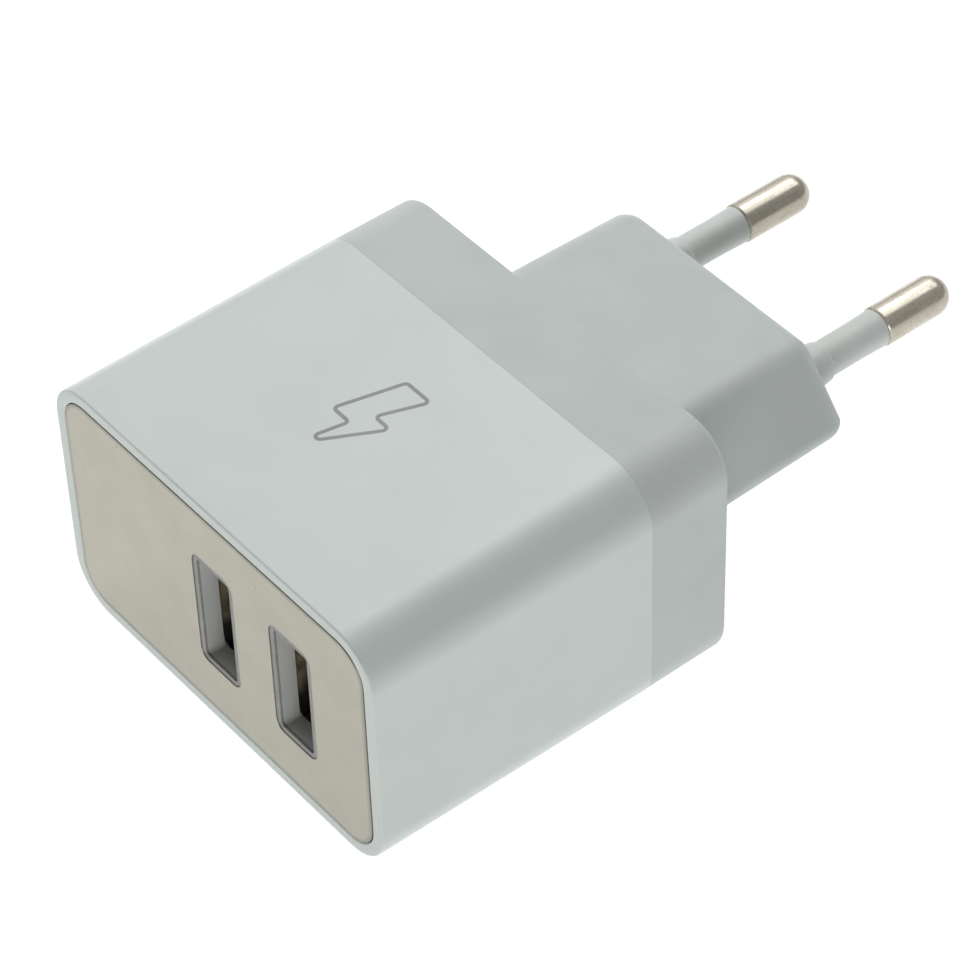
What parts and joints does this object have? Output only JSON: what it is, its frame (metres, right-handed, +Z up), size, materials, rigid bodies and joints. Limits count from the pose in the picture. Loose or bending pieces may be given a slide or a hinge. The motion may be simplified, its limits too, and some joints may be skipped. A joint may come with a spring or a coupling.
{
  "type": "usb wall charger",
  "caption": "Mains wall charger with a round-pin plug nose at the back and USB-A ports in a brushed metal front plate.",
  "frame": {"origin": "middle of the charger's outline on the surface it lies on, under its broad lower face", "axes": "+X towards the side of the front that has the ports, +Y from the front plate to the mains pins, +Z up"},
  "size_m": [0.0456, 0.0772, 0.0276],
  "materials": {
    "sleeve_plastic": "satin off-white moulded polycarbonate",
    "cover_plastic": "fine matt off-white moulded polycarbonate",
    "brushed_plate": "brushed, warm champagne tone",
    "bezel_plastic": "grey moulded plastic",
    "adhesive_sheet": "clear double-sided tape",
    "nickel_plating": "bright nickel plating, slightly warm",
    "pin_insulation": "light grey moulded insulation",
    "brass_strip": "stamped brass",
    "socket_steel": "nickel-plated sheet steel",
    "socket_plastic": "black moulded insulator",
    "gold_contact": "gold-flashed phosphor bronze",
    "board_green": "green solder mask",
    "tinned_wire": "tinned copper",
    "ferrite": "sintered ferrite",
    "bobbin_plastic": "black phenolic",
    "copper_wire": "enamelled copper wire",
    "yellow_tape": "yellow polyester tape",
    "can_sleeve_blue": "dark blue shrink sleeve",
    "can_sleeve_green": "dark green shrink sleeve",
    "disc_resin": "blue epoxy dip",
    "inductor_sleeve": "black shrink tube over a ferrite drum",
    "fuse_coating": "green flameproof coating",
    "chip_black": "black mould compound",
    "chip_white": "white mould compound",
    "chip_ceramic": "tan ceramic with tinned ends",
    "fibre_sheet": "pressed fibre sheet"
  },
  "bodies": {
    "charger": {"front_sleeve": "sleeve_plastic", "rear_cover": "cover_plastic", "front_plate": "brushed_plate", "plate_adhesive": "adhesive_sheet", "port_bezel_1": "bezel_plastic", "port_bezel_2": "bezel_plastic", "pin_left": "nickel_plating", "pin_right": "nickel_plating", "pin_sleeve_left": "pin_insulation", "pin_sleeve_right": "pin_insulation", "pin_strip_left": "brass_strip", "pin_strip_right": "brass_strip", "usb_shell_1": "socket_steel", "usb_shell_2": "socket_steel", "usb_tongue_1": "socket_plastic", "usb_tongue_2": "socket_plastic", "usb_terminals_1": "gold_contact", "usb_terminals_2": "gold_contact", "circuit_board": "board_green", "component_leads": "tinned_wire", "transformer_core": "ferrite", "transformer_bobbin": "bobbin_plastic", "transformer_winding": "copper_wire", "transformer_tape": "yellow_tape", "input_capacitors": "can_sleeve_blue", "output_capacitors": "can_sleeve_green", "y_capacitor": "disc_resin", "filter_inductor": "inductor_sleeve", "fuse_resistor": "fuse_coating", "bridge_rectifier": "chip_black", "output_rectifier": "chip_black", "optocoupler": "chip_white", "controller_chip": "chip_black", "chip_parts": "chip_ceramic", "insulation_barrier": "fibre_sheet"},
    "port_contacts_1": {"usb_contacts_1": "gold_contact"},
    "port_contacts_2": {"usb_contacts_2": "gold_contact"}
  },
  "joints": [
    {"name": "contacts_1_flex", "type": "hinge", "parent": "charger", "child": "port_contacts_1", "pos_m": [0.0004, -0.0256, 0.0138], "axis": [0, 0, 1], "range_deg": [0, 2.5], "stiffness_Nm_per_rad": 0.45},
    {"name": "contacts_2_flex", "type": "hinge", "parent": "charger", "child": "port_contacts_2", "pos_m": [0.01135, -0.0256, 0.0138], "axis": [0, 0, 1], "range_deg": [0, 2.5], "stiffness_Nm_per_rad": 0.45}
  ]
}
